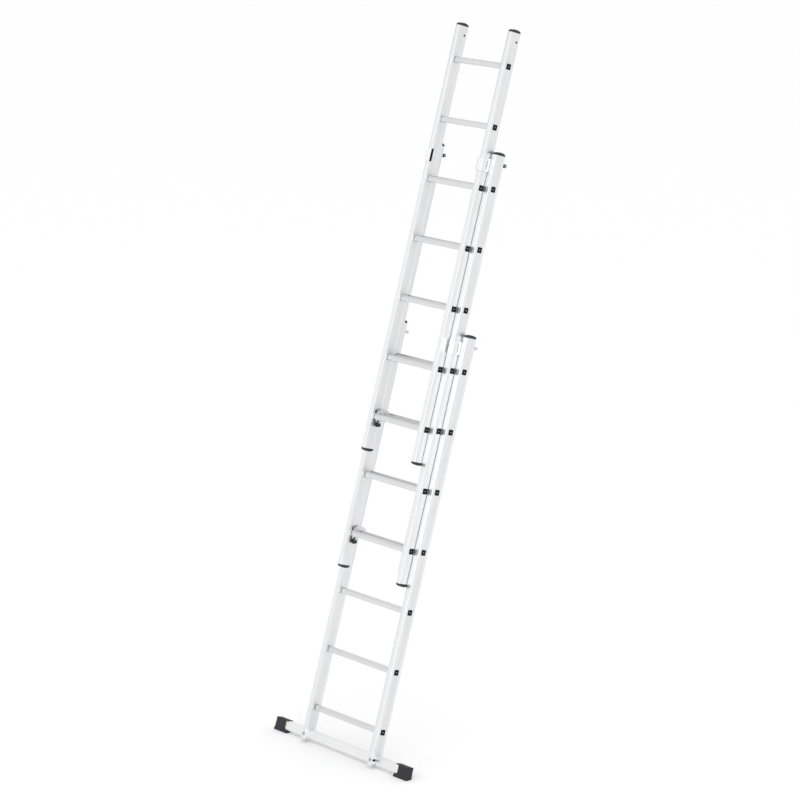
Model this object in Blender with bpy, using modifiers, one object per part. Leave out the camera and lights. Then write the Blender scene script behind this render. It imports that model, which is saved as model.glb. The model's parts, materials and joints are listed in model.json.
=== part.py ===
"""Three-section push-up extension ladder, leaning at its working angle.

Each section is modelled in its own frame: X across the ladder, Y from the climber's side to the
back, Z up along the stiles from the section's lowest rung.  An empty leans the whole ladder.
"""

import math

import bmesh
import bpy
from mathutils import Matrix, Vector

# Driving dimensions, in metres
LEAN = math.radians(17.0)        # from the vertical, top towards +Y
PITCH = 0.280                    # rung to rung
RUNGS = 7                        # in each section
GAP = 0.0003                     # between pieces that touch

STILE_W, STILE_D, STILE_WALL = 0.024, 0.060, 0.0017
STILE_ABOVE, STILE_BELOW = 0.156, 0.152    # metal beyond the end rungs
FLY_HALF = 0.1735                # ladder's middle to a fly stile's middle
STEP_OUT, STEP_BACK = 0.0315, 0.0455       # each section outside and behind the next
HOOK_DROP = 0.006                # a hooked section hangs this far below its rung level
MIDDLE_RAISED, FLY_RAISED = 3, 2           # rungs that each section is pushed up

RUNG, RUNG_WALL = 0.026, 0.0015

CAP_RIM, CAP_DOME, CAP_STEM = 0.004, 0.010, 0.018

BRACKET_H, BRACKET_TOP = 0.062, 0.132      # height, and its top above the top rung
BRACKET_CLEAR = 0.0015           # in front of the stile that slides in it

RIB_OUT, RIB_D = 0.0050, 0.0127  # guide rib on a stile's inner face, at its front edge
RIB_BELOW = 0.100                # how far below the lowest rung it starts
RIB_BITE = 0.001                 # how far it reaches into the stile's wall

HOOK_T = 0.005
HOOK_INSET = 0.012               # from the stile's inner face to the plate's middle
LATCH_Y, LATCH_Z = 0.006, -0.024           # latch pin from its rung's axis
LATCH_LENGTH, LATCH_CHEEK, LATCH_SLOT = 0.022, 0.004, 0.006
PIN_R = 0.0030

BAR_LENGTH, BAR_H, BAR_D, BAR_WALL = 0.926, 0.045, 0.025, 0.0016
BAR_DROP = 0.131                 # lowest rung's axis down to the bar's middle
TONGUE_D, TONGUE_BELOW = 0.0267, 0.156     # front of a base stile, in front of the bar
BOLT_R, BOLT_HEAD_R = 0.0040, 0.0080

FOOT_END, FOOT_SIDE, FOOT_TOP = 0.006, 0.0045, 0.0030
FOOT_LONG, FOOT_LIP = 0.084, 0.018         # along the bar, and how far the lips overhang
FOOT_SOLE = 0.168                # lowest rung's axis down to the sole's front edge

BUMPER_R, BUMPER_W = 0.0085, 0.014         # rubber disc across the ladder
BUMPER_OUT, BUMPER_DROP = 0.0165, 0.040    # its middle behind the stile, and below the stile's top
ARM_W, ARM_H = 0.008, 0.010


def clear_scene():
    for obj in list(bpy.data.objects):
        bpy.data.objects.remove(obj, do_unlink=True)


def collection(name):
    made = bpy.data.collections.new(name)
    bpy.context.scene.collection.children.link(made)
    return made


def material(name, colour, roughness, metallic):
    made = bpy.data.materials.new(name)
    made.use_nodes = True
    shader = made.node_tree.nodes["Principled BSDF"]
    shader.inputs["Base Color"].default_value = (*colour, 1.0)
    shader.inputs["Roughness"].default_value = roughness
    shader.inputs["Metallic"].default_value = metallic
    made.diffuse_color = (*colour, 1.0)
    return made


def empty(name, parent=None, location=(0, 0, 0), rotation=(0, 0, 0)):
    made = bpy.data.objects.new(name, None)
    PARTS.objects.link(made)
    made.parent = parent
    made.location, made.rotation_euler = location, rotation
    return made


def place(mesh, name, parent, location, surface=None, rotation=(0, 0, 0)):
    """Put a mesh in the model, or among the cutters when it has no surface."""
    made = bpy.data.objects.new(name, mesh)
    made.parent = parent
    made.location, made.rotation_euler = location, rotation
    if surface is None:
        CUTTERS.objects.link(made)
        made.hide_render, made.display_type = True, "WIRE"
        return made
    PARTS.objects.link(made)
    if not mesh.materials:
        mesh.materials.append(surface)
    return made


def boolean(obj, other, operation="DIFFERENCE"):
    cut = obj.modifiers.new(other.name, "BOOLEAN")
    cut.operation, cut.object = operation, other


def bevel(obj, width, segments=2, angle=math.radians(50)):
    edge = obj.modifiers.new("edges", "BEVEL")
    edge.width, edge.segments, edge.angle_limit = width, segments, angle


# Directions in which an outline is drawn and extruded
ALONG = {
    "Z": Matrix.Identity(4),                                              # drawn in X and Y
    "X": Matrix(((0, 0, 1, 0), (1, 0, 0, 0), (0, 1, 0, 0), (0, 0, 0, 1))),  # in Y and Z
    "Y": Matrix(((1, 0, 0, 0), (0, 0, -1, 0), (0, 1, 0, 0), (0, 0, 0, 1))),  # in X and Z
}


def extrusion(name, outlines, length, along):
    """The first outline less the others, extruded either way from its plane."""
    curve = bpy.data.curves.new(name, "CURVE")
    curve.dimensions, curve.fill_mode, curve.extrude = "2D", "BOTH", length / 2
    for outline in outlines:
        spline = curve.splines.new("POLY")
        spline.points.add(len(outline) - 1)
        for point, (x, y) in zip(spline.points, outline):
            point.co = (x, y, 0.0, 1.0)
        spline.use_cyclic_u = True
    guide = bpy.data.objects.new(name, curve)
    bpy.context.scene.collection.objects.link(guide)
    graph = bpy.context.evaluated_depsgraph_get()
    mesh = bpy.data.meshes.new_from_object(guide.evaluated_get(graph))
    bpy.data.objects.remove(guide)
    bpy.data.curves.remove(curve)
    mesh.name = name
    mesh.materials.clear()
    solid = bmesh.new()
    solid.from_mesh(mesh)
    bmesh.ops.remove_doubles(solid, verts=solid.verts, dist=1e-6)
    bmesh.ops.transform(solid, matrix=ALONG[along], verts=solid.verts)
    bmesh.ops.recalc_face_normals(solid, faces=solid.faces)
    solid.to_mesh(mesh)
    solid.free()
    return mesh


def box(name, size):
    mesh = bpy.data.meshes.new(name)
    solid = bmesh.new()
    bmesh.ops.create_cube(solid, size=1.0, matrix=Matrix.Diagonal((*size, 1.0)))
    solid.to_mesh(mesh)
    solid.free()
    return mesh


def cylinder(name, radius, length, along, sides=16):
    mesh = bpy.data.meshes.new(name)
    solid = bmesh.new()
    bmesh.ops.create_cone(solid, cap_ends=True, segments=sides, radius1=radius, radius2=radius,
                          depth=length, matrix=ALONG[along])
    solid.to_mesh(mesh)
    solid.free()
    return mesh


def turned(name, outline, sides=16):
    """A mesh of (radius, height) points from the top of the axis down, to be turned about Z."""
    mesh = bpy.data.meshes.new(name)
    points = [(radius, 0.0, height) for radius, height in outline]
    mesh.from_pydata(points, [(i, i + 1) for i in range(len(points) - 1)], [])
    mesh["sides"] = sides
    return mesh


def turn(obj):
    screw = obj.modifiers.new("turn", "SCREW")
    screw.steps = screw.render_steps = obj.data["sides"]
    screw.use_merge_vertices, screw.merge_threshold = True, 1e-6
    screw.use_smooth_shade = True
    return obj


def profile(width, depth, radius, steps, grooves=((), (), (), ()), groove=(0.002, 0.0006)):
    """A rounded rectangle; grooves run down its +X, +Y, -X and -Y sides at these offsets."""
    across, cut = groove
    half = (width / 2, depth / 2)
    points = []
    for side in range(4):
        turned_by = side * math.pi / 2
        out = Vector((math.cos(turned_by), math.sin(turned_by)))
        along = Vector((-out.y, out.x))
        reach, run = half[side % 2], half[1 - side % 2]
        for offset in sorted(grooves[side]):
            for shift, sunk in ((-0.5, 0), (-0.35, cut), (0.35, cut), (0.5, 0)):
                points.append(out * (reach - sunk) + along * (offset + shift * across))
        centre = out * (reach - radius) + along * (run - radius)
        for step in range(steps + 1):
            angle = turned_by + math.pi / 2 * step / steps
            points.append(centre + radius * Vector((math.cos(angle), math.sin(angle))))
    return [tuple(point) for point in points]


def arc(centre, radius, start, end, steps, squash=1.0):
    """Points along part of a circle, or of an ellipse squashed in its second direction."""
    angles = [math.radians(start + (end - start) * i / steps) for i in range(steps + 1)]
    return [(centre[0] + radius * math.cos(a), centre[1] + radius * squash * math.sin(a))
            for a in angles]


def stile_mesh(name, below):
    grooves = ((-0.021, 0.021), (0.0,), (-0.021, 0.021), (0.0,))
    outer = profile(STILE_W, STILE_D, 0.003, 3, grooves, (0.003, 0.0006))
    inner = profile(STILE_W - 2 * STILE_WALL, STILE_D - 2 * STILE_WALL, 0.0015, 1)
    length = below + (RUNGS - 1) * PITCH + STILE_ABOVE
    return extrusion(name, [outer, inner], length, "Z"), (length / 2 - below)


def rung_holes(name, parent, x):
    hole = box(name, (STILE_W + 0.02, RUNG + 2 * GAP, RUNG + 2 * GAP))
    cutter = place(hole, name, parent, (x, 0, 0))
    row = cutter.modifiers.new("row", "ARRAY")
    row.count, row.use_relative_offset, row.use_constant_offset = RUNGS, False, True
    row.constant_offset_displace = (0, 0, PITCH)
    return cutter


def add_stiles(section, half, below):
    frame = FRAMES[section]
    for side, x in (("left", -half), ("right", half)):
        mesh, middle = stile_mesh(f"{section}_stile_{side}", below)
        stile = place(mesh, f"{section}_stile_{side}", frame, (x, 0, middle), ALUMINIUM_STILE)
        boolean(stile, rung_holes(f"{section}_holes_{side}", frame, x))


def add_rungs(section, half):
    top = (-0.0075, -0.0025, 0.0025, 0.0075)
    outer = profile(RUNG, RUNG, 0.003, 2, ((), top, (), top))
    inner = profile(RUNG - 2 * RUNG_WALL, RUNG - 2 * RUNG_WALL, 0.0015, 1)
    mesh = extrusion(f"{section}_rung", [outer, inner], 2 * half + STILE_W, "X")
    for i in range(RUNGS):
        place(mesh, f"{section}_rung_{i + 1}", FRAMES[section], (0, 0, i * PITCH), ALUMINIUM_RUNG)


def add_caps(section, half, ends):
    """Plugs with a domed head that close the stiles' open ends."""
    rim = STILE_D / 2 - 0.001
    dome = [(-rim, 0.0), (rim, 0.0)] + arc((0, CAP_RIM), rim, 0, 180, 12, CAP_DOME / rim)
    inside = 2 * (STILE_WALL + GAP)
    stem = extrusion("cap_stem", [profile(STILE_W - inside, STILE_D - inside, 0.0020, 1)],
                     CAP_STEM, "Z")
    top = (RUNGS - 1) * PITCH + STILE_ABOVE + GAP
    for end in ends:
        z, flip, into = (top, 0, -1) if end == "top" else (-STILE_BELOW - GAP, math.pi, 1)
        for side, x in (("left", -half), ("right", half)):
            name = f"{section}_{end}_cap_{side}"
            mesh = extrusion(name, [dome], STILE_W - 0.001, "X")
            cap = place(mesh, name, FRAMES[section], (x, 0, z), BLACK_PLASTIC, (flip, 0, 0))
            bevel(cap, 0.0015)
            plug = place(stem, f"{name}_stem", FRAMES[section],
                         (x, 0, z + into * (CAP_STEM / 2 - 0.001)))
            boolean(cap, plug, "UNION")


def add_brackets(section, half, lip):
    """Guides on the stiles' inner faces, which wrap the front of the section sliding inside."""
    inner = half - STILE_W / 2                    # the stile's inner face
    leg_out, leg_in = inner - GAP, inner - GAP - 0.0042
    ahead = -STEP_BACK - STILE_D / 2              # front face of the stile inside
    front, back = ahead - BRACKET_CLEAR - 0.003, 0.0
    slide_in = half - STEP_OUT - STILE_W / 2      # inner face of the stile inside
    if lip:
        reach = slide_in - 0.0012
        hook = [(reach, ahead - BRACKET_CLEAR), (reach, ahead + 0.010),
                (reach - 0.0028, ahead + 0.010), (reach - 0.0028, front)]
    else:
        reach = slide_in + 0.0015
        hook = [(reach, ahead - BRACKET_CLEAR), (reach, front)]
    shape = [(leg_out, front), (leg_out, back), (leg_in, back),
             (leg_in, ahead - BRACKET_CLEAR)] + hook
    z = (RUNGS - 1) * PITCH + BRACKET_TOP - BRACKET_H / 2
    slot = box(f"{section}_bracket_slot", (0.02, 0.003, 0.040))
    for side, sign in (("left", -1), ("right", 1)):
        name = f"{section}_guide_bracket_{side}"
        outline = [(sign * x, y) for x, y in shape]
        bracket = place(extrusion(name, [outline], BRACKET_H, "Z"), name, FRAMES[section],
                        (0, 0, z), ALUMINIUM_BRACKET)
        boolean(bracket, place(slot, f"{name}_slot", FRAMES[section],
                               (sign * leg_in, ahead + 0.027, z)))
        bevel(bracket, 0.0006, 1)


def add_guide_ribs(section, half):
    """Ribs that steady the stile sliding inside, from above the foot to below the bracket."""
    low, high = -RIB_BELOW, (RUNGS - 1) * PITCH + BRACKET_TOP - BRACKET_H - 0.003
    rib = box(f"{section}_rib", (RIB_OUT + RIB_BITE, RIB_D, high - low))
    for side, sign in (("left", -1), ("right", 1)):
        x = sign * (half - STILE_W / 2 - (RIB_OUT - RIB_BITE) / 2)
        y = GAP - STILE_D / 2 + RIB_D / 2
        guide = place(rib, f"{section}_rib_{side}", FRAMES[section], (x, y, (low + high) / 2))
        boolean(PARTS.objects[f"{section}_stile_{side}"], guide, "UNION")


def hook_outline():
    """Side of a hook plate: it grips its own rung from behind and drops over the next one."""
    own = RUNG / 2 + GAP
    near, far = STEP_BACK - RUNG / 2 - 0.001, STEP_BACK + RUNG / 2 + 0.0008
    mouth = HOOK_DROP + own
    hump = arc((0.0285, mouth - 0.0013), 0.0385, 0, 180, 16, 0.020 / 0.0385)
    nose = [(far, mouth), (far, -0.004), (far + 0.002, -0.010), (far + 0.005, -0.010),
            (far + 0.0077, -0.004)]
    tongue = arc((LATCH_Y, LATCH_Z), 0.007, -150, 0, 8)
    grip = [(-0.010, own)]
    arm = [(-0.010, -own), (-0.010, -own - 0.004)]
    back = [(LATCH_Y + 0.009, -0.0185), (near - 0.004, -0.0185), (near, -0.0150), (near, mouth)]
    slot = [(own, own), (own, -own)]
    return nose + hump[:-1] + grip + slot + arm + tongue + back


def latch_outline():
    wide = 0.011
    return (arc((0, 0), 0.007, 0, 180, 8)
            + [(-wide, -0.012), (-wide, -LATCH_LENGTH + 0.003), (-wide + 0.003, -LATCH_LENGTH),
               (wide - 0.003, -LATCH_LENGTH), (wide, -LATCH_LENGTH + 0.003), (wide, -0.012)])


def add_hooks(section, half):
    """Hook plates with a welded pin, and the gravity latch that swings on each pin."""
    span = LATCH_SLOT / 2 + LATCH_CHEEK + 0.0006
    pin_profile = [(0.0, span + 0.0015), (PIN_R + 0.0015, span + 0.0015), (PIN_R + 0.0015, span),
                   (PIN_R, span), (PIN_R, -span), (PIN_R + 0.0015, -span),
                   (PIN_R + 0.0015, -span - 0.0015), (0.0, -span - 0.0015)]
    plate = extrusion(f"{section}_hook", [hook_outline()], HOOK_T, "X")
    bore = cylinder(f"{section}_latch_bore", PIN_R + GAP, 0.03, "X")
    slot = box(f"{section}_latch_slot", (LATCH_SLOT, 0.04, LATCH_LENGTH))
    width = LATCH_SLOT + 2 * LATCH_CHEEK
    for side, sign in (("left", -1), ("right", 1)):
        x = sign * (half - STILE_W / 2 - HOOK_INSET)
        hook = place(plate, f"{section}_hook_{side}", FRAMES[section], (x, 0, 0), ZINC)
        pin = turn(place(turned("pin", pin_profile, 12), f"{section}_latch_pin_{side}",
                         FRAMES[section], (x, LATCH_Y, LATCH_Z), None, (0, math.pi / 2, 0)))
        boolean(hook, pin, "UNION")
        name = f"{section}_latch_{side}"
        latch = place(extrusion(name, [latch_outline()], width, "X"), name, FRAMES[section],
                      (x, LATCH_Y, LATCH_Z), BLACK_LATCH, (LEAN, 0, 0))
        bevel(latch, 0.0008, 1, math.radians(70))
        boolean(latch, place(slot, f"{name}_slot", latch, (0, 0, LATCH_LENGTH / 2 - 0.013)))
        boolean(latch, place(bore, f"{name}_bore", latch, (0, 0, 0)))


def add_bumpers(section, half, surface):
    """Soft discs on short arms behind the stiles, near their tops."""
    side_face, edge = BUMPER_W / 2, 0.002
    disc = [(0.0, side_face), (BUMPER_R - edge, side_face), (BUMPER_R, side_face - edge),
            (BUMPER_R, edge - side_face), (BUMPER_R - edge, -side_face), (0.0, -side_face)]
    arm = box(f"{section}_bumper_arm", (ARM_W, BUMPER_OUT, ARM_H))
    back = STILE_D / 2 + GAP
    z = (RUNGS - 1) * PITCH + STILE_ABOVE - BUMPER_DROP
    for side, x in (("left", -half), ("right", half)):
        name = f"{section}_bumper_{side}"
        bumper = turn(place(turned(name, disc), name, FRAMES[section], (x, back + BUMPER_OUT, z),
                            surface, (0, math.pi / 2, 0)))
        boolean(bumper, place(arm, f"{name}_arm", FRAMES[section],
                              (x, back + BUMPER_OUT / 2, z)), "UNION")


def notch_base_stiles(half):
    """Cut the lower ends of the base stiles away behind their front part, for the bar."""
    front = -STILE_D / 2 + TONGUE_D
    top = -BAR_DROP + BAR_H / 2 + GAP
    notch = box("notch", (STILE_W + 0.02, 0.06, 0.10))
    access = box("access", (0.010, 0.020, 0.011))
    for side, x in (("left", -half), ("right", half)):
        stile = PARTS.objects[f"base_stile_{side}"]
        cutter = place(notch, f"base_notch_{side}", FRAMES["base"], (x, front + 0.03, top - 0.05))
        boolean(stile, cutter)
        outer = x + math.copysign(STILE_W / 2, x)
        boolean(stile, place(access, f"base_access_{side}", FRAMES["base"],
                             (outer, -STILE_D / 2 + 0.0145, -BAR_DROP)))


def add_bar(half):
    """The stabiliser bar across the foot of the ladder, with its bolts."""
    middle = -STILE_D / 2 + TONGUE_D + GAP + BAR_D / 2
    outer = profile(BAR_D, BAR_H, 0.003, 3)
    inner = profile(BAR_D - 2 * BAR_WALL, BAR_H - 2 * BAR_WALL, 0.0015, 1)
    bar = place(extrusion("stabiliser_bar", [outer, inner], BAR_LENGTH, "X"), "stabiliser_bar",
                FRAMES["base"], (0, middle, -BAR_DROP), ALUMINIUM_BAR)
    hole = cylinder("bolt_hole", BOLT_R + GAP, 0.12, "Y")
    head, nut = -STILE_D / 2 - GAP, middle + BAR_D / 2 + GAP
    bolt_profile = [(0.0, -head + 0.0050), (0.0042, -head + 0.0046), (0.0070, -head + 0.0028),
                    (BOLT_HEAD_R, -head), (BOLT_R, -head), (BOLT_R, -nut), (0.0072, -nut),
                    (0.0072, -nut - 0.0060), (BOLT_R, -nut - 0.0065), (BOLT_R, -nut - 0.0100),
                    (0.0, -nut - 0.0105)]
    for side, x in (("left", -half), ("right", half)):
        cutter = place(hole, f"bar_bolt_hole_{side}", FRAMES["base"], (x, 0, -BAR_DROP))
        boolean(bar, cutter)
        boolean(PARTS.objects[f"base_stile_{side}"], cutter)
        turn(place(turned("bolt", bolt_profile), f"bar_bolt_{side}", FRAMES["base"],
                   (x, 0, -BAR_DROP), ZINC_BOLT, (math.pi / 2, 0, 0)))
    return middle


def add_feet(bar_y):
    """Rubber feet on the bar's ends; their soles are level when the ladder leans."""
    depth = BAR_D + 2 * FOOT_SIDE
    end = BAR_LENGTH / 2 + FOOT_END
    root, low = end - FOOT_LONG, -FOOT_SOLE - 0.01
    top = -BAR_DROP + BAR_H / 2 + FOOT_TOP
    shape = [(end - 0.001, top), (root, top), (root, -FOOT_SOLE + 0.012),
             (root - 0.006, -FOOT_SOLE + 0.004), (root - 0.006, low), (end + 0.004, low),
             (end + 0.004, -FOOT_SOLE + 0.006), (end - 0.002, -FOOT_SOLE + 0.022)]
    pocket = box("foot_pocket", (0.2, BAR_D + 2 * GAP, BAR_H + 2 * GAP))
    window = box("foot_window", (0.2, 0.1, BAR_H - 0.004))
    ground = box("foot_ground", (0.3, 0.3, 0.1))
    front = bar_y - depth / 2
    for side, sign in (("left", -1), ("right", 1)):
        outline = [(sign * x, z) for x, z in shape]
        name = f"foot_{side}"
        foot = place(extrusion(name, [outline], depth, "Y"), name, FRAMES["base"], (0, bar_y, 0),
                     RUBBER)
        bevel(foot, 0.0015, 2, math.radians(30))
        inside = sign * (BAR_LENGTH / 2 + GAP - 0.1)
        boolean(foot, place(pocket, f"{name}_pocket", FRAMES["base"], (inside, bar_y, -BAR_DROP)))
        open_to = sign * (root + FOOT_LIP - 0.1)
        boolean(foot, place(window, f"{name}_window", FRAMES["base"], (open_to, bar_y, -BAR_DROP)))
        sole = Vector((sign * end, front, -FOOT_SOLE))
        down = Vector((0, math.sin(LEAN), -math.cos(LEAN)))
        boolean(foot, place(ground, f"{name}_ground", FRAMES["base"], sole + 0.05 * down, None,
                            (LEAN, 0, 0)))


def shade(obj):
    if not any(mod.type == "SCREW" for mod in obj.modifiers):
        obj.data.shade_smooth()
        obj.data.set_sharp_from_angle(angle=math.radians(30))


def stand_on_floor(frame):
    """Move the ladder so that it stands on Z = 0 with X and Y centred on its box."""
    bpy.context.view_layer.update()
    graph = bpy.context.evaluated_depsgraph_get()
    low, high = Vector((9, 9, 9)), Vector((-9, -9, -9))
    for obj in PARTS.objects:
        if obj.type != "MESH":
            continue
        seen = obj.evaluated_get(graph)
        for vertex in seen.to_mesh().vertices:
            point = seen.matrix_world @ vertex.co
            low = Vector(map(min, low, point))
            high = Vector(map(max, high, point))
        seen.to_mesh_clear()
    frame.location = (-(low.x + high.x) / 2, -(low.y + high.y) / 2, -low.z)
    bpy.context.view_layer.update()


clear_scene()
PARTS, CUTTERS = collection("extension_ladder"), collection("cutters")

ALUMINIUM_STILE = material("stile_aluminium", (0.74, 0.75, 0.77), 0.34, 1.0)
ALUMINIUM_RUNG = material("rung_aluminium", (0.68, 0.68, 0.69), 0.38, 1.0)
ALUMINIUM_BRACKET = material("bracket_aluminium", (0.80, 0.81, 0.82), 0.30, 1.0)
ALUMINIUM_BAR = material("bar_aluminium", (0.73, 0.74, 0.75), 0.38, 1.0)
BLACK_PLASTIC = material("cap_plastic", (0.030, 0.031, 0.034), 0.45, 0.0)
BLACK_LATCH = material("latch_plastic", (0.035, 0.038, 0.038), 0.50, 0.0)
RUBBER = material("foot_rubber", (0.028, 0.028, 0.030), 0.70, 0.0)
GREY_PLASTIC = material("stop_plastic", (0.60, 0.60, 0.59), 0.50, 0.0)
ZINC = material("hook_zinc", (0.62, 0.64, 0.66), 0.35, 1.0)
ZINC_BOLT = material("bolt_zinc", (0.60, 0.61, 0.63), 0.35, 1.0)

ladder = empty("ladder_frame", rotation=(-LEAN, 0, 0))
middle_z = MIDDLE_RAISED * PITCH - HOOK_DROP
fly_z = middle_z + FLY_RAISED * PITCH - HOOK_DROP
FRAMES = {
    "base": empty("base_frame", ladder, (0, 2 * STEP_BACK, 0)),
    "middle": empty("middle_frame", ladder, (0, STEP_BACK, middle_z)),
    "fly": empty("fly_frame", ladder, (0, 0, fly_z)),
}
HALF = {"base": FLY_HALF + 2 * STEP_OUT, "middle": FLY_HALF + STEP_OUT, "fly": FLY_HALF}

for section, below in (("base", TONGUE_BELOW), ("middle", STILE_BELOW), ("fly", STILE_BELOW)):
    add_stiles(section, HALF[section], below)
    add_rungs(section, HALF[section])
for section, ends in (("base", ("top",)), ("middle", ("top", "bottom")),
                      ("fly", ("top", "bottom"))):
    add_caps(section, HALF[section], ends)
for section in ("base", "middle"):
    add_brackets(section, HALF[section], lip=section == "middle")
    add_guide_ribs(section, HALF[section])
    add_bumpers(section, HALF[section], RUBBER if section == "middle" else GREY_PLASTIC)
for section in ("middle", "fly"):
    add_hooks(section, HALF[section])
notch_base_stiles(HALF["base"])
add_feet(add_bar(HALF["base"]))

for piece in PARTS.objects:
    if piece.type == "MESH":
        shade(piece)
stand_on_floor(ladder)
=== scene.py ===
"""Looks of the three-section extension ladder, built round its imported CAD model.

Local coordinates: each section has a frame with X across the ladder, Y from the climber's side to
the back and Z up its stiles from its lowest rung.  New meshes are drawn in those frames.
"""

import json
import math

import bmesh
import bpy
from mathutils import Matrix, Vector


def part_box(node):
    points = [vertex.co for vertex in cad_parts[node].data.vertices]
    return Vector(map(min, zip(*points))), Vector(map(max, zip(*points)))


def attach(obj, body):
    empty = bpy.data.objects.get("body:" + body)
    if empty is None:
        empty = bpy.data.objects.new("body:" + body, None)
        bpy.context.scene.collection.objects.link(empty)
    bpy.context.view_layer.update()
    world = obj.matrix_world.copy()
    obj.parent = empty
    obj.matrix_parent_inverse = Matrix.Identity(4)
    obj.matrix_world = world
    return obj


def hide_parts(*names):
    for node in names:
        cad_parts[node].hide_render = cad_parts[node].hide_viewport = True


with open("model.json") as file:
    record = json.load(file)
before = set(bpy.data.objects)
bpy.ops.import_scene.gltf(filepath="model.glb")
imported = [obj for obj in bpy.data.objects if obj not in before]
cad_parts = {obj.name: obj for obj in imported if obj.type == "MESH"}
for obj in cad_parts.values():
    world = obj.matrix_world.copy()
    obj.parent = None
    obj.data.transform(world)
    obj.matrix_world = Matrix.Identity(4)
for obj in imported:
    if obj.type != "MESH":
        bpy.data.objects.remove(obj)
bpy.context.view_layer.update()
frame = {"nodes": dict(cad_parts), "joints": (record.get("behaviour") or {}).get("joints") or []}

NODES = frame["nodes"]
SLIDE = Vector(next(j["axis"] for j in frame["joints"] if j["name"] == "middle_slide"))
LEAN = math.atan2(SLIDE.y, SLIDE.z)
RUNGS = 7
SECTIONS = ("base", "middle", "fly")
SIDES = (("left", -1), ("right", 1))

# The photographer's place: bearing, height and distance from the point that the camera looks at
AZIMUTH, ELEVATION = math.radians(48.74), math.radians(13.50)
DISTANCE, TARGET = 14.410, Vector((0.0, -0.0835, 1.6185))
LENS, SENSOR = 142.13, 36.0


# ---------------------------------------------------------------- frames and sizes from the CAD

def section_frame(section):
    low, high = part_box(f"{section}_rung_1")
    return Matrix.Translation((low + high) / 2) @ Matrix.Rotation(-LEAN, 4, "X")


FRAMES = {section: section_frame(section) for section in SECTIONS}


def local_box(node, section):
    """Lowest and highest corner of a CAD node in its section's own frame."""
    back = FRAMES[section].inverted()
    points = [back @ vertex.co for vertex in NODES[node].data.vertices]
    return Vector(map(min, zip(*points))), Vector(map(max, zip(*points)))


def half_width(section):
    """From the ladder's middle to the outer face of a stile."""
    return local_box(f"{section}_stile_right", section)[1].x


STILE_LOW, STILE_HIGH = local_box("fly_stile_right", "fly")
STILE_W, STILE_D = STILE_HIGH.x - STILE_LOW.x, STILE_HIGH.y - STILE_LOW.y
STILE_TOP = STILE_HIGH.z
PITCH = local_box("fly_rung_2", "fly")[0].z - local_box("fly_rung_1", "fly")[0].z
RUNG = local_box("fly_rung_1", "fly")[1].y - local_box("fly_rung_1", "fly")[0].y
GAP = 0.0003                               # between pieces that touch, as in the CAD


# ---------------------------------------------------------------- mesh helpers

def loft(name, rings, closed=False):
    """Skin over rings of equal length; open ends are capped, a closed loft joins end to start."""
    mesh = bpy.data.meshes.new(name)
    solid = bmesh.new()
    made = [[solid.verts.new(point) for point in ring] for ring in rings]
    pairs = list(zip(made, made[1:]))
    if closed:
        pairs.append((made[-1], made[0]))
    else:
        solid.faces.new(made[0])
        solid.faces.new(made[-1])
    for ring, after in pairs:
        for i in range(len(ring)):
            j = (i + 1) % len(ring)
            solid.faces.new((ring[i], ring[j], after[j], after[i]))
    bmesh.ops.recalc_face_normals(solid, faces=solid.faces)
    solid.to_mesh(mesh)
    solid.free()
    return mesh


def joined(name, meshes):
    """One mesh of several closed ones."""
    mesh = bpy.data.meshes.new(name)
    solid = bmesh.new()
    for part in meshes:
        solid.from_mesh(part)
    solid.to_mesh(mesh)
    solid.free()
    return mesh


def moved(mesh, matrix=Matrix.Identity(4), surface=0):
    """The mesh moved, with its faces given to a material slot."""
    mesh.transform(matrix)
    for face in mesh.polygons:
        face.material_index = surface
    return mesh


def rounded(width, depth, radius, steps=6):
    """A rounded rectangle of points, anticlockwise from its right side."""
    points = []
    for quarter in range(4):
        turn = quarter * math.pi / 2
        out = Vector((math.cos(turn), math.sin(turn)))
        along = Vector((-out.y, out.x))
        reach, run = (width, depth)[quarter % 2] / 2, (depth, width)[quarter % 2] / 2
        centre = out * (reach - radius) + along * (run - radius)
        for step in range(steps + 1):
            angle = turn + math.pi / 2 * step / steps
            points.append(centre + radius * Vector((math.cos(angle), math.sin(angle))))
    return points


def grooved(width, depth, radius, grooves, share=1.0, steps=4):
    """A rounded rectangle with grooves, each an offset, width and depth, in its four sides."""
    corners = rounded(width, depth, radius, steps)
    outline = []
    for quarter, cuts in enumerate(grooves):
        turn = quarter * math.pi / 2
        out = Vector((math.cos(turn), math.sin(turn)))
        along = Vector((-out.y, out.x))
        reach = (width, depth)[quarter % 2] / 2
        for offset, across, sunk in sorted(cuts):
            for shift, cut in ((-0.5, 0.0), (-0.25, sunk), (0.25, sunk), (0.5, 0.0)):
                outline.append(out * (reach - cut * share) + along * (offset + shift * across))
        outline.extend(corners[quarter * (steps + 1):(quarter + 1) * (steps + 1)])
    return outline


def circle(radius, sides):
    return [Vector((radius * math.cos(2 * math.pi * i / sides),
                    radius * math.sin(2 * math.pi * i / sides))) for i in range(sides)]


def arc(centre, radius, start, end, steps, squash=1.0):
    angles = [math.radians(start + (end - start) * i / steps) for i in range(steps + 1)]
    return [Vector((centre[0] + radius * math.cos(a), centre[1] + radius * squash * math.sin(a)))
            for a in angles]


def turned(name, outline, sides=40):
    """A turned solid about Z from (radius, height) points."""
    return loft(name, [[(p.x, p.y, height) for p in circle(max(radius, 1e-5), sides)]
                       for radius, height in outline])


def prism(name, outline, thickness):
    """A flat outline in Y and Z, as thick as said along X."""
    return loft(name, [[(x, point[0], point[1]) for point in outline]
                       for x in (-thickness / 2, thickness / 2)])


def box_mesh(name, size, centre=(0, 0, 0)):
    mesh = bpy.data.meshes.new(name)
    solid = bmesh.new()
    bmesh.ops.create_cube(solid, size=1.0,
                          matrix=Matrix.Translation(centre) @ Matrix.Diagonal((*size, 1.0)))
    solid.to_mesh(mesh)
    solid.free()
    return mesh


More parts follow.
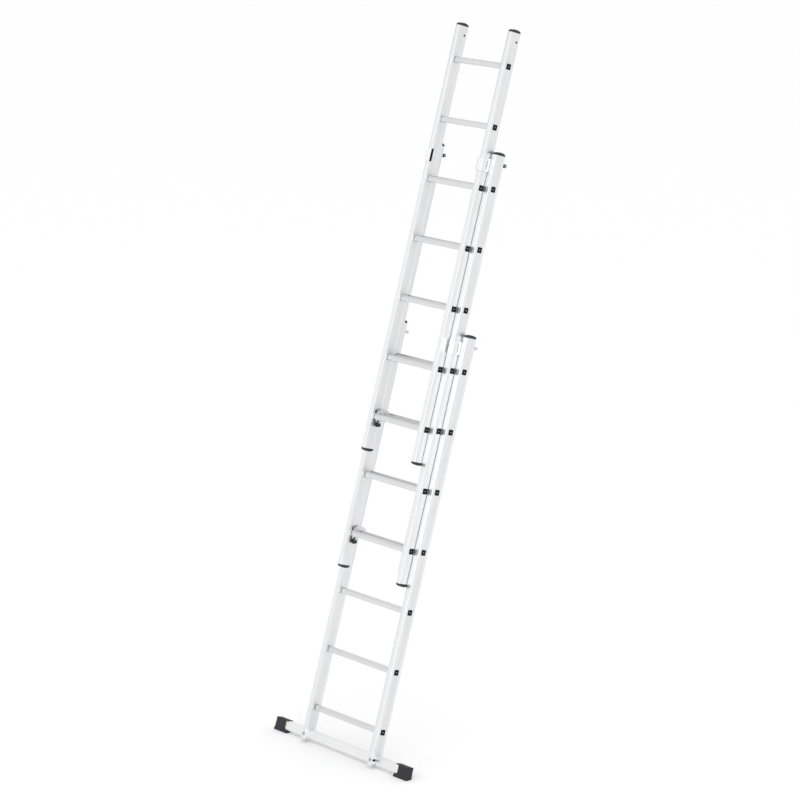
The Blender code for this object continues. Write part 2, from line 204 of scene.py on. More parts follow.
def scene_object(name, mesh):
    made = bpy.data.objects.new(name, mesh)
    bpy.context.scene.collection.objects.link(made)
    return made


def smooth(mesh, angle=35):
    mesh.shade_smooth()
    mesh.set_sharp_from_angle(angle=math.radians(angle))


def settled(obj):
    """Apply an object's modifiers to its mesh."""
    graph = bpy.context.evaluated_depsgraph_get()
    mesh = bpy.data.meshes.new_from_object(obj.evaluated_get(graph))
    obj.modifiers.clear()
    obj.data = mesh
    return obj


def bevelled(name, mesh, width, segments=3, angle=35):
    """The mesh with rounded edges."""
    helper = scene_object(name, mesh)
    edge = helper.modifiers.new("edges", "BEVEL")
    edge.width, edge.segments, edge.angle_limit = width, segments, math.radians(angle)
    mesh = settled(helper).data
    bpy.data.objects.remove(helper)
    return mesh


def cut(name, mesh, cutters):
    """The mesh less the cutters' meshes."""
    helper = scene_object(name, mesh)
    tools = [scene_object(f"{name}_tool_{i}", tool) for i, tool in enumerate(cutters)]
    for tool in tools:
        bite = helper.modifiers.new(tool.name, "BOOLEAN")
        bite.operation, bite.object = "DIFFERENCE", tool
    mesh = settled(helper).data
    for obj in [helper, *tools]:
        bpy.data.objects.remove(obj)
    return mesh


def piece(name, mesh, body, matrix, surfaces, stands_for=()):
    """A visible piece that rides on a body; like a CAD node, its place is in its mesh."""
    mesh = mesh.copy()
    mesh.name = name
    mesh.transform(matrix)
    for surface in surfaces:
        mesh.materials.append(surface)
    smooth(mesh)
    made = scene_object(name, mesh)
    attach(made, body)
    if stands_for:
        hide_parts(*stands_for)
    return made


# ---------------------------------------------------------------- materials

class Look:
    """A Principled material and short calls for the nodes that feed it."""

    def __init__(self, name, colour, roughness, metallic=0.0):
        self.material = bpy.data.materials.new(name)
        self.material.use_nodes = True
        self.tree = self.material.node_tree
        self.shader = self.tree.nodes["Principled BSDF"]
        self.set(Metallic=metallic, Roughness=roughness)
        self.shader.inputs["Base Color"].default_value = (*colour, 1.0)
        self.position = self.node("ShaderNodeTexCoord").outputs["Object"]

    def set(self, **values):
        for name, value in values.items():
            self.shader.inputs[name.replace("_", " ")].default_value = value

    def node(self, kind, inputs=None, **settings):
        made = self.tree.nodes.new(kind)
        for name, value in settings.items():
            setattr(made, name, value)
        for name, value in (inputs or {}).items():
            if isinstance(value, bpy.types.NodeSocket):
                self.tree.links.new(value, made.inputs[name])
            else:
                made.inputs[name].default_value = value
        return made

    def feed(self, socket, output):
        self.tree.links.new(output, self.shader.inputs[socket])

    def space(self, scale, lean=0.0):
        """Object coordinates turned upright by the lean, then stretched."""
        upright = self.node("ShaderNodeMapping", {"Vector": self.position,
                                                  "Rotation": (lean, 0, 0)}).outputs[0]
        return self.node("ShaderNodeMapping", {"Vector": upright, "Scale": scale}).outputs[0]

    def noise(self, space, scale=1.0, detail=3.0, roughness=0.5):
        return self.node("ShaderNodeTexNoise", {"Vector": space, "Scale": scale, "Detail": detail,
                                                "Roughness": roughness}).outputs["Fac"]

    def spread(self, value, low, high, start=0.3, end=0.7):
        """Map a 0 to 1 value between start and end to the range low to high."""
        return self.node("ShaderNodeMapRange", {"Value": value, "From Min": start, "From Max": end,
                                                "To Min": low, "To Max": high}).outputs["Result"]

    def times(self, first, second):
        return self.node("ShaderNodeMath", {0: first, 1: second}, operation="MULTIPLY").outputs[0]

    def plus(self, first, second):
        return self.node("ShaderNodeMath", {0: first, 1: second}, operation="ADD").outputs[0]

    def mix(self, factor, first, second):
        mixed = self.node("ShaderNodeMix", data_type="RGBA")
        for socket, value in ((0, factor), (6, first), (7, second)):
            if isinstance(value, bpy.types.NodeSocket):
                self.tree.links.new(value, mixed.inputs[socket])
            else:
                mixed.inputs[socket].default_value = value if socket == 0 else (*value, 1.0)
        return mixed.outputs[2]

    def shaded(self, colour, factor):
        """The colour times a grey factor."""
        grey = self.node("ShaderNodeCombineColor", {0: factor, 1: factor, 2: factor}).outputs[0]
        mixed = self.node("ShaderNodeMix", data_type="RGBA", blend_type="MULTIPLY")
        mixed.inputs[0].default_value = 1.0
        for socket, value in ((6, colour), (7, grey)):
            if isinstance(value, bpy.types.NodeSocket):
                self.tree.links.new(value, mixed.inputs[socket])
            else:
                mixed.inputs[socket].default_value = (*value, 1.0)
        return mixed.outputs[2]

    def bump(self, height, distance, strength=1.0):
        made = self.node("ShaderNodeBump", {"Height": height, "Distance": distance,
                                            "Strength": strength})
        self.feed("Normal", made.outputs[0])


def extruded_aluminium(name, colour, roughness, along, lean):
    """Mill-finished extrusion: die lines along the piece, faint clouding, handling scuffs."""
    look = Look(name, colour, roughness, 1.0)
    stretch = [820.0, 820.0, 820.0]
    stretch["XYZ".index(along)] = 2.6
    band = [70.0, 70.0, 70.0]
    band["XYZ".index(along)] = 0.5
    lines = look.noise(look.space(stretch, lean), 1.0, 4.0, 0.6)
    bands = look.noise(look.space(band, lean), 1.0, 2.0)
    clouds = look.noise(look.space((9.0, 9.0, 9.0)), 1.0, 5.0, 0.6)
    scuff_space = look.space((260.0, 190.0, 34.0), lean + 0.5)
    scuffs = look.spread(look.noise(scuff_space, 1.0, 2.0), 0.0, 1.0, 0.71, 0.76)
    tone = look.plus(look.spread(lines, -0.035, 0.035), look.spread(bands, 0.955, 1.02))
    tone = look.plus(tone, look.spread(clouds, -0.025, 0.025))
    look.feed("Base Color", look.shaded(colour, look.plus(tone, look.times(scuffs, -0.05))))
    rough = look.plus(look.spread(lines, -0.05, 0.07),
                      look.spread(clouds, roughness - 0.03, roughness + 0.05))
    look.feed("Roughness", look.plus(rough, look.times(scuffs, 0.10)))
    look.bump(look.plus(lines, look.times(scuffs, -0.5)), 0.00006, 0.5)
    return look.material


def plated_steel(name, colour, roughness):
    """Zinc plating: faint crystal patches, fine pitting and a cool tint that wanders."""
    look = Look(name, colour, roughness, 1.0)
    cells = look.node("ShaderNodeTexVoronoi", {"Vector": look.space((1, 1, 1)), "Scale": 240.0,
                                               "Randomness": 1.0}).outputs["Color"]
    patch = look.node("ShaderNodeSeparateColor", {0: cells}).outputs[0]
    grain = look.noise(look.space((1, 1, 1)), 900.0, 3.0)
    clouds = look.noise(look.space((1, 1, 1)), 45.0, 4.0)
    cooler = [channel * share for channel, share in zip(colour, (0.93, 0.97, 1.05))]
    tint = look.mix(look.spread(clouds, 0.0, 1.0), colour, cooler)
    tone = look.plus(look.spread(patch, 0.90, 1.04, 0.0, 1.0), look.spread(grain, -0.03, 0.03))
    look.feed("Base Color", look.shaded(tint, tone))
    look.feed("Roughness", look.plus(look.spread(patch, roughness - 0.05, roughness + 0.07, 0, 1),
                                     look.spread(grain, -0.03, 0.03)))
    look.bump(grain, 0.00004, 0.6)
    return look.material


def moulded(name, colour, roughness, grain_scale, grain_depth, dust=(0.16, 0.16, 0.155),
            dust_share=0.10, gloss=0.45):
    """Moulded plastic or rubber: spark-eroded grain, flow marks and a little dust."""
    look = Look(name, colour, roughness)
    grain = look.noise(look.space((1, 1, 1)), grain_scale, 2.0)
    flow = look.noise(look.space((60.0, 60.0, 22.0)), 1.0, 3.0, 0.6)
    specks = look.noise(look.space((1, 1, 1)), 420.0, 4.0, 0.7)
    dusty = look.times(look.spread(flow, 0.0, dust_share), look.spread(specks, 0.2, 1.0))
    tone = look.spread(flow, 0.88, 1.12)
    look.feed("Base Color", look.mix(dusty, look.shaded(colour, tone), dust))
    look.feed("Roughness", look.plus(look.spread(flow, roughness - 0.06, roughness + 0.06),
                                     look.spread(grain, -0.05, 0.05)))
    look.bump(grain, grain_depth, 0.7)
    look.set(Specular_IOR_Level=gloss)
    return look.material


STILE_METAL = extruded_aluminium("stile_mill_finish", (0.77, 0.775, 0.785), 0.36, "Z", LEAN)
RUNG_METAL = extruded_aluminium("rung_mill_finish", (0.71, 0.71, 0.715), 0.42, "X", LEAN)
BRACKET_METAL = extruded_aluminium("bracket_bright_finish", (0.83, 0.835, 0.84), 0.30, "Z", LEAN)
BAR_METAL = extruded_aluminium("bar_mill_finish", (0.83, 0.83, 0.835), 0.42, "X", LEAN)
CAP_PLASTIC = moulded("cap_black_plastic", (0.026, 0.0265, 0.028), 0.48, 1500.0, 0.00005,
                      dust_share=0.06, gloss=0.36)
# Black plastic of the plugs and rivets; also the colour of the seam rings, bracket strips and slot
# liners, which paint shade
BLACK_PLASTIC_AND_SHADE = moulded("black_plastic_and_painted_shade", (0.004, 0.004, 0.0045), 0.50, 1500.0, 0.00004,
                       dust_share=0.02, gloss=0.14)
PLUG_MARK = moulded("plug_worn_centre", (0.19, 0.19, 0.19), 0.42, 1500.0, 0.00004)
LATCH_PLASTIC = moulded("latch_black_plastic", (0.018, 0.019, 0.020), 0.46, 1300.0, 0.00005,
                        gloss=0.35)
STOP_PLASTIC = moulded("stop_grey_plastic", (0.80, 0.80, 0.79), 0.45, 1400.0, 0.00005,
                       (0.60, 0.60, 0.58), 0.15, 0.40)
RUBBER = moulded("foot_black_rubber", (0.018, 0.018, 0.023), 0.60, 700.0, 0.00012,
                 (0.20, 0.20, 0.20), 0.08, 0.32)
ZINC = plated_steel("hook_zinc_plate", (0.74, 0.745, 0.755), 0.34)
BOLT_ZINC = plated_steel("bolt_zinc_plate", (0.50, 0.505, 0.52), 0.32)


# ---------------------------------------------------------------- CAD nodes that stay

def dress_cad_nodes():
    """Give every CAD node its material, and round the edges of those that stay in view."""
    looks = (("stabiliser_bar", BAR_METAL, 0.0), ("guide_bracket", BRACKET_METAL, 0.0003),
             ("hook", ZINC, 0.0005), ("latch", LATCH_PLASTIC, 0.0), ("stile", STILE_METAL, 0.0),
             ("rung", RUNG_METAL, 0.0), ("cap", CAP_PLASTIC, 0.0), ("bumper", RUBBER, 0.0),
             ("foot", RUBBER, 0.0), ("bolt", BOLT_ZINC, 0.0))
    for name, node in NODES.items():
        surface, edge = next((look, width) for word, look, width in looks if word in name)
        node.data.materials.clear()
        node.data.materials.append(surface)
        weld = node.modifiers.new("weld", "WELD")
        weld.merge_threshold = 0.000005
        if edge:
            bevel = node.modifiers.new("edges", "BEVEL")
            bevel.width, bevel.segments, bevel.angle_limit = edge, 2, math.radians(40)
            bevel.use_clamp_overlap = True


# ---------------------------------------------------------------- rungs and their end plugs

RUNG_RADIUS, RUNG_WALL = 0.003, 0.0015
RIBS = [((rib - 4) * 0.0021, 0.0011, 0.0005) for rib in range(9)]      # anti-slip grooves
FACE_LINES = [(0.0088, 0.0018, 0.0009), (0.0034, 0.0018, 0.0009)]      # along the upper face
SHADE_SEAL_LONG, SHADE_SEAL_OUT = 0.0010, 0.0015       # black ring between a rung's bead and the stile, a guessed seal that paints the joint's shadow
BEAD_OUT = 0.0011                          # swaged bead that clamps the stile
# The bead along the rung, from the stile inwards: how far in, and its share of BEAD_OUT
BEAD = ((0.0, 0.0), (0.0002, 1.0), (0.0014, 1.0), (0.0022, 0.6), (0.0030, 0.0))


def rung_ring(x, grow=0.0, share=1.0):
    """The rung's outline at x: ribs on its bottom and top, two lines on its front and back."""
    size = RUNG + 2 * grow
    front = [(-offset, across, sunk) for offset, across, sunk in FACE_LINES]
    outline = grooved(size, size, RUNG_RADIUS + grow, (FACE_LINES, RIBS, front, RIBS), share)
    return [(x, point.x, point.y) for point in outline]


def rung_mesh(section):
    outer = half_width(section)
    inner = outer - STILE_W - GAP / 3
    bead = inner - SHADE_SEAL_LONG - GAP / 3
    half = [(outer, 0.0), *((bead - inward, BEAD_OUT * share) for inward, share in BEAD)]
    rings = [rung_ring(x, grow) for x, grow in half]
    rings += [rung_ring(-x, grow) for x, grow in reversed(half)]
    rings += [rung_ring(x, -RUNG_WALL, 0.0) for x in (-outer, outer)]
    solids = [loft(f"{section}_rung", rings, closed=True)]
    hole, rim = RUNG + GAP, RUNG + 2 * SHADE_SEAL_OUT
    # Black rings at both rung ends: painted shadow of the rung-to-stile joint, also taken as a seal
    for sign in (-1, 1):
        seam = [(hole, inner), (rim, inner), (rim, inner - SHADE_SEAL_LONG), (hole, inner - SHADE_SEAL_LONG)]
        rings = [[(sign * x, p.x, p.y)
                  for p in rounded(size, size, (size - RUNG) / 2 + RUNG_RADIUS)]
                 for size, x in seam]
        solids.append(moved(loft("seam", rings, closed=True), surface=1))
    return joined(f"{section}_rung", solids)


PLUG_OUT = 0.0013                          # how far a plug's head stands off the stile
# Rings of a plug, outwards from its inner end: width, height, corner radius and place along X
PLUG_HEAD = ((0.0190, 0.0190, 0.0025, -0.009), (0.0226, 0.0226, 0.0022, -0.0088),
             (0.0226, 0.0226, 0.0022, 0.0001), (0.0252, 0.0252, 0.0034, 0.0001),
             (0.0260, 0.0260, 0.0038, 0.0005), (0.0257, 0.0257, 0.0037, 0.0010),
             (0.0246, 0.0246, 0.0034, PLUG_OUT), (0.0180, 0.0180, 0.0026, PLUG_OUT),
             (0.0172, 0.0172, 0.0022, 0.0004))
PLUG_BAR = ((0.0080, 0.0046, 0.0016, 0.0002), (0.0080, 0.0046, 0.0016, 0.0009),
            (0.0068, 0.0034, 0.0012, PLUG_OUT))


def plug_mesh():
    """Plug head with a rounded rim, a dished face and a worn bar across the dish; it faces +X."""
    head, bar = (loft("plug", [[(x, p.x, p.y) for p in rounded(wide, high, radius)]
                               for wide, high, radius, x in rings])
                 for rings in (PLUG_HEAD, PLUG_BAR))
    return joined("rung_plug", [head, moved(bar, surface=1)])


def add_rungs():
    plug = plug_mesh()
    for section in SECTIONS:
        mesh = rung_mesh(section)
        for number in range(1, RUNGS + 1):
            node = f"{section}_rung_{number}"
            at = FRAMES[section] @ Matrix.Translation((0, 0, (number - 1) * PITCH))
            piece(f"{node}_ribbed", mesh, section, at, [RUNG_METAL, BLACK_PLASTIC_AND_SHADE],
                  [node])
            for side, sign in SIDES:
                flip = Matrix.Rotation(0 if sign > 0 else math.pi, 4, "Z")
                end = Matrix.Translation((sign * half_width(section), 0, 0))
                piece(f"{node}_plug_{side}", plug, section, at @ end @ flip,
                      [BLACK_PLASTIC_AND_SHADE, PLUG_MARK])


# ---------------------------------------------------------------- stile caps, rivets and bumpers

CAP_RIM, CAP_DOME = 0.0040, 0.0098


def cap_mesh():
    """Domed end cap, its stem down inside the stile; it points up."""
    rim = STILE_D / 2 - 0.001
    outline = [Vector((rim, 0.0)), *arc((0, CAP_RIM), rim, 0, 180, 40, CAP_DOME / rim),
               Vector((-rim, 0.0))]
    head = bevelled("cap_head", prism("cap_head", outline, STILE_W - 0.001), 0.0024, 4, 50)
    seam = loft("cap_seam", [[(p.x, p.y, z) for p in rounded(STILE_W + grow, STILE_D + grow, 0.003)]
                             for z, grow in ((0.0000, -0.0016), (0.0004, -0.0003),
                                             (0.0016, -0.0003), (0.0022, -0.0014))])
    stem = loft("cap_stem", [[(p.x, p.y, z) for p in rounded(STILE_W - 0.0044, STILE_D - 0.0044,
                                                             0.002)] for z in (-0.016, 0.001)])
    return joined("stile_cap", [head, seam, stem])


RIVET_R, RIVET_TALL = 0.0052, 0.0013       # small rivet near a fly stile's top
RIVET_BACK, RIVET_BELOW = 0.014, 0.0415    # its place from the stile's middle and top
BRACKET_RIVET_R, BRACKET_RIVET_TALL = 0.0042, 0.0012
BRACKET_RIVETS = (0.014, 0.048)            # up a guide bracket from its lower edge
BRACKET_RIVET_FRONT = 0.012                # in front of the stile's middle
BRACKET_DEEP = 0.0042                      # from the stile's inner face to the bracket's face


def dome_head(radius, height, foot=0.0006):
    """A domed rivet head with its foot just under the surface it sits on."""
    outline = [(radius * 0.98, -foot), (radius, 0.0)]
    outline += [(radius * math.cos(a), height * math.sin(a))
                for a in (math.radians(12 * i) for i in range(1, 8))]
    return turned("rivet", outline, 24)


def add_stile_trim():
    cap = cap_mesh()
    small = dome_head(RIVET_R, RIVET_TALL)
    for section in SECTIONS:
        for end in ("top", "bottom"):
            if f"{section}_{end}_cap_left" not in NODES:
                continue
            for side, _ in SIDES:
                node = f"{section}_{end}_cap_{side}"
                low, high = local_box(node, section)
                flip = Matrix.Rotation(0 if end == "top" else math.pi, 4, "X")
                edge = high.z - CAP_RIM - CAP_DOME if end == "top" else low.z + CAP_RIM + CAP_DOME
                at = Matrix.Translation(((low.x + high.x) / 2, 0, edge))
                piece(f"{node}_domed", cap, section, FRAMES[section] @ at @ flip, [CAP_PLASTIC],
                      [node])
    for side, sign in SIDES:
        for face, out in (("outer", 1), ("inner", -1)):
            x = sign * (half_width("fly") - (0 if out > 0 else STILE_W))
            at = Matrix.Translation((x, RIVET_BACK, STILE_TOP - RIVET_BELOW))
            turn = Matrix.Rotation(sign * out * math.pi / 2, 4, "Y")
            piece(f"fly_rivet_{side}_{face}", small, "fly", FRAMES["fly"] @ at @ turn,
                  [BLACK_PLASTIC_AND_SHADE])


def add_bracket_rivets():
    head = dome_head(BRACKET_RIVET_R, BRACKET_RIVET_TALL)
    for section in ("base", "middle"):
        for side, sign in SIDES:
            low, _ = local_box(f"{section}_guide_bracket_{side}", section)
            face = half_width(section) - STILE_W - GAP - BRACKET_DEEP
            for number, up in enumerate(BRACKET_RIVETS, 1):
                at = Matrix.Translation((sign * face, -BRACKET_RIVET_FRONT, low.z + up))
                turn = Matrix.Rotation(-sign * math.pi / 2, 4, "Y")
                piece(f"{section}_bracket_rivet_{side}_{number}", head, section,
                      FRAMES[section] @ at @ turn, [BRACKET_METAL])


LIP_DEEP = 0.0145                          # bracket lip that wraps the sliding stile's corner
GLIDE_SHADE_T, GLIDE_SHADE_SHORT = 0.0014, 0.0015      # thickness, and how much shallower than its lip


def add_glide_shade_strips():
    """Black plastic strips that line the lips of the middle section's guide brackets: a guessed
    glide that also paints the shadow at each bracket's free edge.
    """
    for side, sign in SIDES:
        low, high = local_box(f"middle_guide_bracket_{side}", "middle")
        free_edge = low.x if sign > 0 else high.x
        size = (GLIDE_SHADE_T, LIP_DEEP - GLIDE_SHADE_SHORT, high.z - low.z - 2 * GLIDE_SHADE_SHORT)
        # Painted shadow: a black strip where the lip's free edge is in shade
        glide_shade_strip = bevelled("glide_shade", box_mesh("glide_shade", size), 0.0004, 2)
        at = Matrix.Translation((free_edge - sign * GLIDE_SHADE_T / 2, low.y + LIP_DEEP / 2,
                                 (low.z + high.z) / 2))
        piece(f"middle_bracket_glide_{side}", glide_shade_strip, "middle", FRAMES["middle"] @ at,
              [BLACK_PLASTIC_AND_SHADE])


# Turned outlines of a bumper as shares of its radius and of half its width
DISC = ((0.30, -0.90), (0.62, -0.90), (0.66, -1.0), (0.84, -1.0), (0.95, -0.92), (1.0, -0.74),
        (1.0, -0.28), (0.94, -0.20), (0.94, 0.20), (1.0, 0.28), (1.0, 0.74), (0.95, 0.92),
        (0.84, 1.0), (0.66, 1.0), (0.62, 0.90), (0.30, 0.90))
SCREW = ((0.28, 0.80), (0.50, 0.90), (0.50, 0.94), (0.42, 0.99), (0.16, 1.0), (0.14, 0.92))
BUMPER_NUT = ((0.46, -0.88), (0.50, -0.92), (0.46, -0.99))
ARM_WIDE, ARM_TALL, ARM_BEVEL = 0.0065, 0.0095, 0.0012
ARM_END = 0.8                              # where the arm ends in the disc, share of its radius


def add_bumpers():
    """Soft disc on a plated arm, with a screw head on its outer side and a nut inside."""
    for section, surface, slot in (("base", STOP_PLASTIC, "stop_plastic"),
                                   ("middle", RUBBER, "foot_rubber")):
        for side, sign in SIDES:
            node = f"{section}_bumper_{side}"
            low, high = local_box(node, section)
            radius, half = (high.z - low.z) / 2, (high.x - low.x) / 2
            centre = Vector(((low.x + high.x) / 2, high.y - radius, (low.z + high.z) / 2))
            disc = turned("disc", [(radius * r, half * h) for r, h in DISC], 48)
            screw = turned("screw", [(radius * r, half * h) for r, h in SCREW], 32)
            nut = loft("nut", [[(p.x, p.y, half * h) for p in circle(radius * r, 6)]
                               for r, h in BUMPER_NUT])
            turn = Matrix.Rotation(sign * math.pi / 2, 4, "Y")
            arm_size = (ARM_WIDE, centre.y - radius * ARM_END - low.y, ARM_TALL)
            arm_at = (0, (low.y - radius * ARM_END - centre.y) / 2, 0)
            arm = bevelled("arm", box_mesh("arm", arm_size, arm_at), ARM_BEVEL)
            mesh = joined(node, [moved(disc, turn), moved(screw, turn, 1), moved(nut, turn, 1),
                                 moved(arm, surface=1)])
            piece(f"{node}_soft", mesh, section, FRAMES[section] @ Matrix.Translation(centre),
                  [surface, BOLT_ZINC], [node])


# ---------------------------------------------------------------- foot of the ladder

BAR_RADIUS, BAR_WALL = 0.003, 0.0016
BAR_LINE = (0.0028, 0.0012)                # width and depth of the grooves near the bar's edges
BAR_LINE_OFF = 0.0165                      # from the bar's middle
DRILL_R, DRILL_REACH = 0.0043, 0.05        # radius, and how far it goes each way from the middle


def add_bar():
    """The bar's extrusion, grooved near the edges of its front and back, drilled for its bolts."""
    low, high = local_box("stabiliser_bar", "base")
    middle, size = (low + high) / 2, high - low
    lines = [(offset, *BAR_LINE) for offset in (-BAR_LINE_OFF, BAR_LINE_OFF)]
    outer = grooved(size.y, size.z, BAR_RADIUS, (lines, (), lines, ()))
    inner = grooved(size.y - 2 * BAR_WALL, size.z - 2 * BAR_WALL, BAR_RADIUS / 2,
                    (lines, (), lines, ()), 0.0)
    rings = [[(x, p.x, p.y) for p in ring] for x, ring in
             ((-size.x / 2, outer), (size.x / 2, outer), (size.x / 2, inner), (-size.x / 2, inner))]
    tube = loft("bar", rings, closed=True)
    drills = []
    for side, _ in SIDES:
        bolt_low, bolt_high = local_box(f"bar_bolt_{side}", "base")
        drill = turned("drill", [(DRILL_R, -DRILL_REACH), (DRILL_R, DRILL_REACH)], 32)
        drill.transform(Matrix.Translation(((bolt_low.x + bolt_high.x) / 2, 0, 0))
                        @ Matrix.Rotation(math.pi / 2, 4, "X"))
        drills.append(drill)
    piece("stabiliser_bar_grooved", cut("bar", tube, drills), "base",
          FRAMES["base"] @ Matrix.Translation(middle), [BAR_METAL],
          ["stabiliser_bar"])


HEAD_TALL, HEAD_FOOT = 0.0050, 0.0006      # the domed head and the straight foot of its side
SHANK_R, THREAD_R, THREAD_PITCH = 0.0038, 0.88 * 0.0038, 0.0010
SOCKET_R, SOCKET_DEEP = 0.0029, 0.0036
# A nut's hexagon from the bar outwards: radius across its corners and distance from the bar
NUT = ((0.0066, 0.0004), (0.0071, 0.0010), (0.0071, 0.0056), (0.0064, 0.0064))
NUT_GAP = 0.0001                           # between a nut's hole and its bolt


def add_bolts():
    """Domed bolt with a hexagon socket in its head, and a hexagon nut behind the bar."""
    for side, _ in SIDES:
        node = f"bar_bolt_{side}"
        low, high = local_box(node, "base")
        tip, top = -high.y, -low.y         # heights along the bolt, which points to the front
        seat, nut = top - HEAD_TALL, -local_box("stabiliser_bar", "base")[1].y
        radius = (high.x - low.x) / 2
        turns = int((nut - tip) / THREAD_PITCH)
        outline = [(SHANK_R * 0.8, tip)]
        for turn in range(turns):
            outline += [(SHANK_R, tip + (turn + 0.4) * THREAD_PITCH),
                        (THREAD_R, tip + (turn + 0.9) * THREAD_PITCH)]
        dome = seat + HEAD_FOOT
        outline += [(SHANK_R, nut), (SHANK_R, seat), (radius * 0.97, seat), (radius, dome)]
        outline += [(radius * math.cos(a), dome + (HEAD_TALL - HEAD_FOOT) * math.sin(a))
                    for a in (math.radians(10 * i) for i in range(1, 9))]
        socket = loft("socket", [[(p.x, p.y, z) for p in circle(SOCKET_R, 6)]
                                 for z in (top - SOCKET_DEEP, top + 0.01)])
        bolt = cut("bolt", turned("bolt", outline), [socket])
        block = loft("nut", [[(p.x, p.y, nut - z) for p in circle(r, 6)] for r, z in NUT])
        hole = turned("hole", [(SHANK_R + NUT_GAP, nut + z) for z in (-0.02, 0.02)], 32)
        mesh = joined("bar_bolt", [bolt, cut("nut", block, [hole])])
        at = Matrix.Translation(((low.x + high.x) / 2, 0, (low.z + high.z) / 2))
        piece(f"{node}_turned", mesh, "base",
              FRAMES["base"] @ at @ Matrix.Rotation(math.pi / 2, 4, "X"), [BOLT_ZINC],
              [node])


# Black block behind each side slot: painted shade of the hollow inside, guessed as a plastic insert
SHADE_LINER_SIZE = (0.0020, 0.0215, 0.0140)
SHADE_LINER_IN, SHADE_LINER_BACK = 0.0029, 0.0140      # its middle from the stile's outer and front faces


def add_slot_shade_liners():
    """Black plastic blocks behind the side slots of the base stiles' lower ends: painted shade of
    the slots' hollow insides, taken as inserts.
    """
    for side, sign in SIDES:
        low, high = local_box(f"base_stile_{side}", "base")
        bolt_low, bolt_high = local_box(f"bar_bolt_{side}", "base")
        outer = high.x if sign > 0 else low.x
        block = bevelled("shade_liner", box_mesh("shade_liner", SHADE_LINER_SIZE), 0.0004, 2)
        at = Matrix.Translation((outer - sign * SHADE_LINER_IN, low.y + SHADE_LINER_BACK,
                                 (bolt_low.z + bolt_high.z) / 2))
        piece(f"base_slot_liner_{side}", block, "base", FRAMES["base"] @ at, [BLACK_PLASTIC_AND_SHADE])


SOLE_OUT, SOLE_IN = 0.0040, 0.0060         # how far the sole flares past the end and the root
SOLE_EDGE = 0.0060                         # height of the sole's straight edge
FOOT_WINDOW = 0.018                        # how far the upper and lower lips overhang the bar
TREAD_PITCH, TREAD_WIDE, TREAD_DEEP = 0.0080, 0.0026, 0.0022


def curved(start, end, pull, steps=6):
    """Points of a parabola from start to end, drawn towards pull; both ends are included."""
    start, end, pull = Vector(start), Vector(end), Vector(pull)
    return [start * (1 - t) ** 2 + pull * 2 * t * (1 - t) + end * t ** 2
            for t in (i / steps for i in range(steps + 1))]


def add_feet():
    """Rubber shoes with waisted sides, a window for the bar and a treaded, level sole."""
    bar_low, bar_high = local_box("stabiliser_bar", "base")
    bar_mid, bar_size = (bar_low + bar_high) / 2, bar_high - bar_low
    to_local = FRAMES["base"].inverted()
    for side, sign in SIDES:
        node = f"foot_{side}"
        low, high = local_box(node, "base")
        end = max(abs(low.x), abs(high.x)) - SOLE_OUT
        root = min(abs(low.x), abs(high.x)) + SOLE_IN
        sole = (to_local @ Vector((sign * end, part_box(node)[0].y, 0))).z
        bottom = low.z - 0.010
        outline = [Vector((end - 0.0010, high.z)), Vector((root, high.z))]
        outline += curved((root, high.z - 0.012), (root - SOLE_IN, sole + SOLE_EDGE),
                          (root, sole + 0.012))
        outline += [Vector((root - SOLE_IN, bottom)), Vector((end + SOLE_OUT, bottom))]
        waist = end - 0.0015
        outline += curved((end + SOLE_OUT, sole + SOLE_EDGE), (waist, high.z - 0.014),
                          (waist, sole + 0.016))
        body = loft("foot", [[(sign * p.x, y, p.y) for p in outline] for y in (low.y, high.y)])
        body = bevelled("foot", body, 0.0026, 4, 40)
        pocket = box_mesh("pocket", (0.2, bar_size.y + GAP, bar_size.z + GAP),
                          (sign * (bar_size.x / 2 + GAP - 0.1), bar_mid.y, bar_mid.z))
        window = bevelled("window", box_mesh("window", (0.2, 0.1, bar_size.z - 0.004),
                                             (sign * (root + FOOT_WINDOW - 0.1), bar_mid.y,
                                              bar_mid.z)), 0.0030, 3)
        ground = box_mesh("ground", (1.2, 1.2, 0.1), (0, 0, -0.05))
        ground.transform(to_local)
        treads = []
        count = int((end - root) / TREAD_PITCH)
        for number in range(count + 1):
            x = sign * (root + 0.002 + number * TREAD_PITCH)
            tread = box_mesh("tread", (TREAD_WIDE, 0.2, 2 * TREAD_DEEP),
                             (x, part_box(node)[0].y, 0))
            tread.transform(to_local)
            treads.append(tread)
        body = cut("foot", body, [pocket, window, ground, *treads])
        piece(f"{node}_moulded", body, "base", FRAMES["base"], [RUBBER], [node])


# ---------------------------------------------------------------- studio

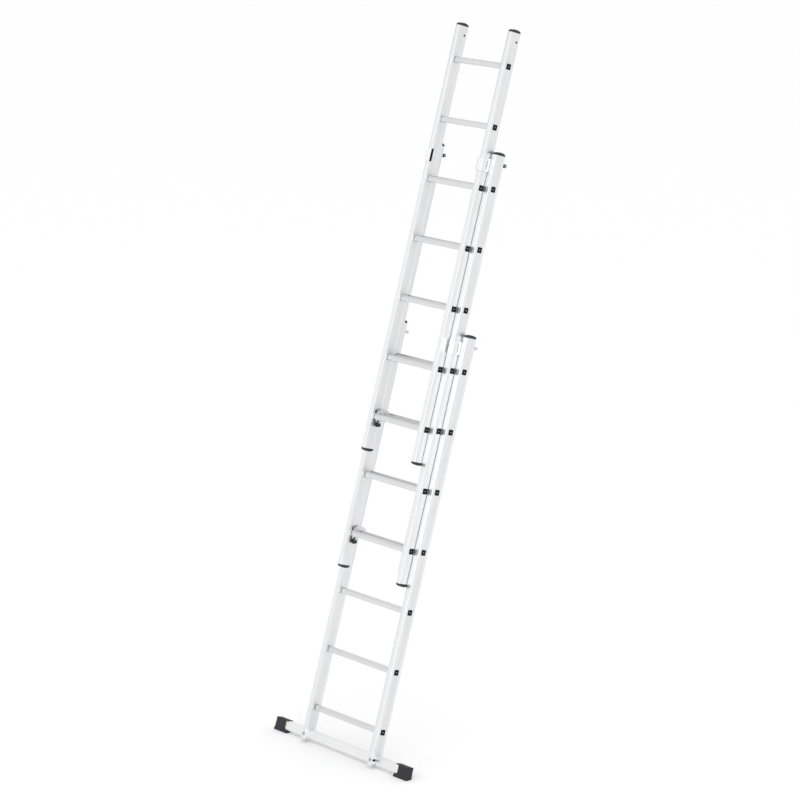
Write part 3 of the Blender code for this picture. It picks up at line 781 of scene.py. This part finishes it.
FLOOR_RADIUS, FLOOR_COLOUR = 120.0, (0.96, 0.96, 0.96)
SKY_STRENGTH = 1.03
# Name, place, width and height, and power of each lamp
LAMPS = (("front_left", (-9.5, -8.6, 3.8), (8.0, 8.0), 22),
         ("front_right", (9.5, -8.6, 3.8), (10.0, 7.0), 330))


def add_camera():
    data = bpy.data.cameras.new("camera")
    data.lens, data.sensor_width = LENS, SENSOR
    data.clip_start, data.clip_end = 0.5, 400.0
    camera = scene_object("camera", data)
    back = Vector((math.sin(AZIMUTH) * math.cos(ELEVATION),
                   -math.cos(AZIMUTH) * math.cos(ELEVATION), math.sin(ELEVATION)))
    camera.location = TARGET + DISTANCE * back
    camera.rotation_euler = (-back).to_track_quat("-Z", "Y").to_euler()
    bpy.context.scene.camera = camera


def add_softbox(name, place, size, power):
    """A rectangular lamp that points at the camera's target."""
    data = bpy.data.lights.new(name, "AREA")
    data.shape, data.size, data.size_y, data.energy = "RECTANGLE", *size, power
    lamp = scene_object(name, data)
    lamp.location = place
    lamp.rotation_euler = (TARGET - Vector(place)).to_track_quat("-Z", "Y").to_euler()


def add_studio():
    floor = scene_object("studio_floor", bpy.data.meshes.new("studio_floor"))
    solid = bmesh.new()
    bmesh.ops.create_circle(solid, cap_ends=True, segments=64, radius=FLOOR_RADIUS)
    solid.to_mesh(floor.data)
    solid.free()
    floor.data.materials.append(Look("studio_floor", FLOOR_COLOUR, 0.9).material)
    world = bpy.data.worlds.new("studio")
    world.use_nodes = True
    sky = world.node_tree.nodes["Background"]
    sky.inputs["Color"].default_value = (1.0, 1.0, 1.0, 1.0)
    sky.inputs["Strength"].default_value = SKY_STRENGTH
    bpy.context.scene.world = world
    bpy.context.scene.view_settings.view_transform = "Standard"
    for lamp in LAMPS:
        add_softbox(*lamp)


dress_cad_nodes()
add_rungs()
add_stile_trim()
add_bracket_rivets()
add_glide_shade_strips()
add_bumpers()
add_bar()
add_bolts()
add_slot_shade_liners()
add_feet()
add_camera()
add_studio()
